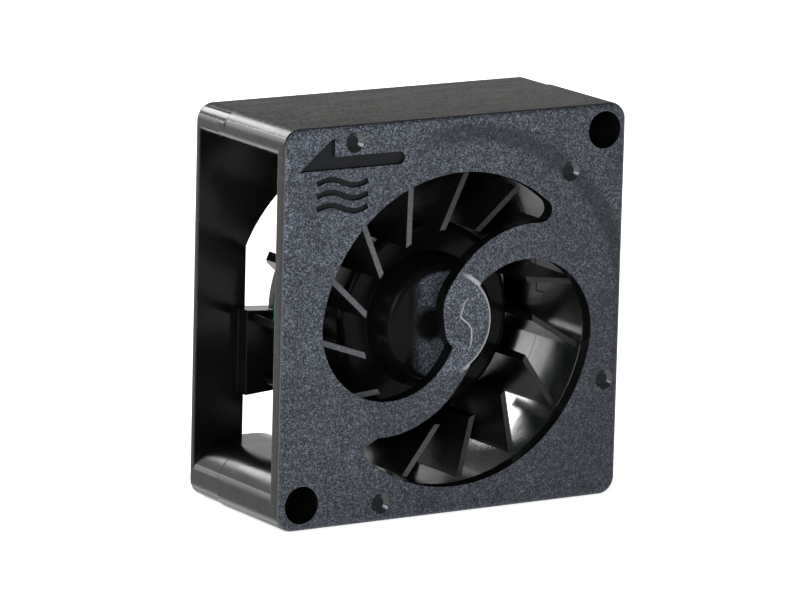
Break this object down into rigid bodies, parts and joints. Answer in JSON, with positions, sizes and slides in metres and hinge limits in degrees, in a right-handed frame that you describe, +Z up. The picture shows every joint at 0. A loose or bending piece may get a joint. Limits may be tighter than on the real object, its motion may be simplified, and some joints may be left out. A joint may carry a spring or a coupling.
{
  "type": "radial cooling fan",
  "caption": "Square thin radial fan with an S-shaped front guard, bladed rotor on ball bearings, and one side outlet.",
  "frame": {"origin": "under the middle of the housing, on the surface that it stands on", "axes": "+Z up, -Y out of the front face with the guard, -X out of the outlet"},
  "size_m": [0.045, 0.02, 0.0455],
  "materials": {
    "housing_plastic": "fine spark texture",
    "impeller_plastic": "satin, textured nose",
    "yoke_steel": "drawn and plated",
    "magnet": "bonded magnet",
    "brass": "turned",
    "shaft_steel": "ground",
    "bearing_steel": "ground",
    "cage_brass": "pressed",
    "lamination_steel": "stamped stack",
    "insulator_plastic": "moulded",
    "copper_wire": "enamelled wire",
    "board": "solder mask",
    "chip_plastic": "moulded",
    "capacitor_ceramic": "ceramic"
  },
  "bodies": {
    "housing": {"front_shell": "housing_plastic", "rear_shell": "housing_plastic", "bearing_tube": "brass", "preload_spring": "shaft_steel", "front_bearing_outer_ring": "bearing_steel", "front_bearing_shields": "bearing_steel", "rear_bearing_outer_ring": "bearing_steel", "rear_bearing_shields": "bearing_steel", "stator_core": "lamination_steel", "stator_insulator_front": "insulator_plastic", "stator_insulator_rear": "insulator_plastic", "stator_coils": "copper_wire", "winding_pins": "brass", "circuit_board": "board", "hall_sensor": "chip_plastic", "driver_chip": "chip_plastic", "chip_capacitors": "capacitor_ceramic", "chip_resistors": "chip_plastic"},
    "rotor": {"impeller": "impeller_plastic", "rotor_yoke": "yoke_steel", "rotor_magnet": "magnet", "shaft_bush": "brass", "shaft": "shaft_steel", "retaining_ring": "shaft_steel", "front_bearing_inner_ring": "bearing_steel", "rear_bearing_inner_ring": "bearing_steel"},
    "front_cage": {"front_bearing_balls": "bearing_steel", "front_bearing_cage": "cage_brass"},
    "rear_cage": {"rear_bearing_balls": "bearing_steel", "rear_bearing_cage": "cage_brass"}
  },
  "joints": [
    {"name": "rotor_spin", "type": "hinge", "parent": "housing", "child": "rotor", "pos_m": [0.0006, 0, 0.0211], "axis": [0, -1, 0], "continuous": true},
    {"name": "front_cage_spin", "type": "hinge", "parent": "housing", "child": "front_cage", "pos_m": [0.0006, 0, 0.0211], "axis": [0, -1, 0], "continuous": true},
    {"name": "rear_cage_spin", "type": "hinge", "parent": "housing", "child": "rear_cage", "pos_m": [0.0006, 0, 0.0211], "axis": [0, -1, 0], "continuous": true}
  ]
}
